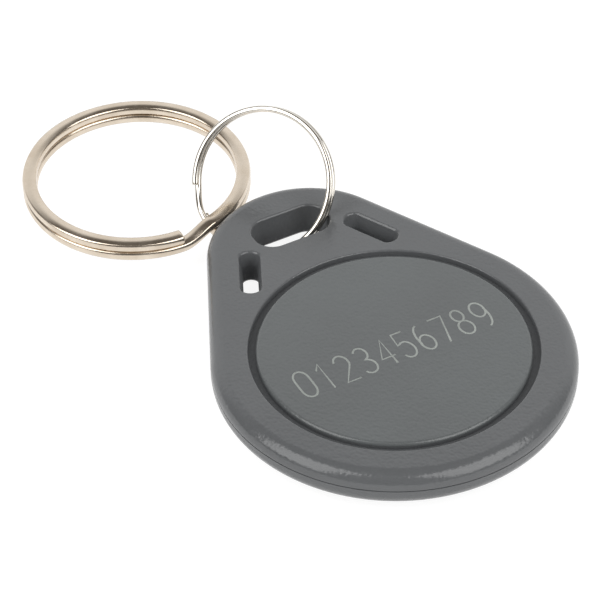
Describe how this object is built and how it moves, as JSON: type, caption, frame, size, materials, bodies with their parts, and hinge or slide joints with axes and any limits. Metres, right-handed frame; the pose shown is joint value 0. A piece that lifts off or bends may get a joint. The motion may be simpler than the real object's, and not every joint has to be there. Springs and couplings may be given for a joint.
{
  "type": "rfid key fob tag",
  "caption": "Drop-shaped key fob tag with a round face panel, a rounded ring slot between two narrow slots, a small split ring through it and a large split ring.",
  "frame": {"origin": "on the flat back, under the centre of the round panel", "axes": "+Z out of the face, +Y towards the ring slot, +X to the right when the face is read with the slot at the top"},
  "size_m": [0.0357, 0.0611, 0.0123],
  "materials": {
    "grey_abs": "fine satin texture",
    "enamelled_copper": "enamelled copper winding",
    "clear_glue": "cured clear glue",
    "board": "glass fibre board with green mask",
    "silicon": "polished silicon",
    "black_epoxy": "black epoxy",
    "pad_copper": "plated copper",
    "solder": "bright solder",
    "nickel_plate": "nickel-plated steel"
  },
  "bodies": {
    "fob": {"front_shell": "grey_abs", "back_shell": "grey_abs", "antenna_coil": "enamelled_copper", "coil_glue_1": "clear_glue", "coil_glue_2": "clear_glue", "coil_glue_3": "clear_glue", "board_bond": "clear_glue", "chip_board": "board", "chip_die": "silicon", "glob_top": "black_epoxy", "pad_left": "pad_copper", "pad_right": "pad_copper", "solder_left": "solder", "solder_right": "solder"},
    "small_ring": {"small_split_ring": "nickel_plate"},
    "large_ring": {"large_split_ring": "nickel_plate"}
  },
  "joints": [
    {"name": "small_ring_swing", "type": "hinge", "parent": "fob", "child": "small_ring", "pos_m": [-0.001, 0.0226, 0.00175], "axis": [0.8, 0.6, 0], "range_deg": [-110, 0]},
    {"name": "large_ring_swing", "type": "hinge", "parent": "small_ring", "child": "large_ring", "pos_m": [-0.005, 0.02562, 0.00051], "axis": [0.8, 0.6, 0], "range_deg": [-45, 0]}
  ]
}
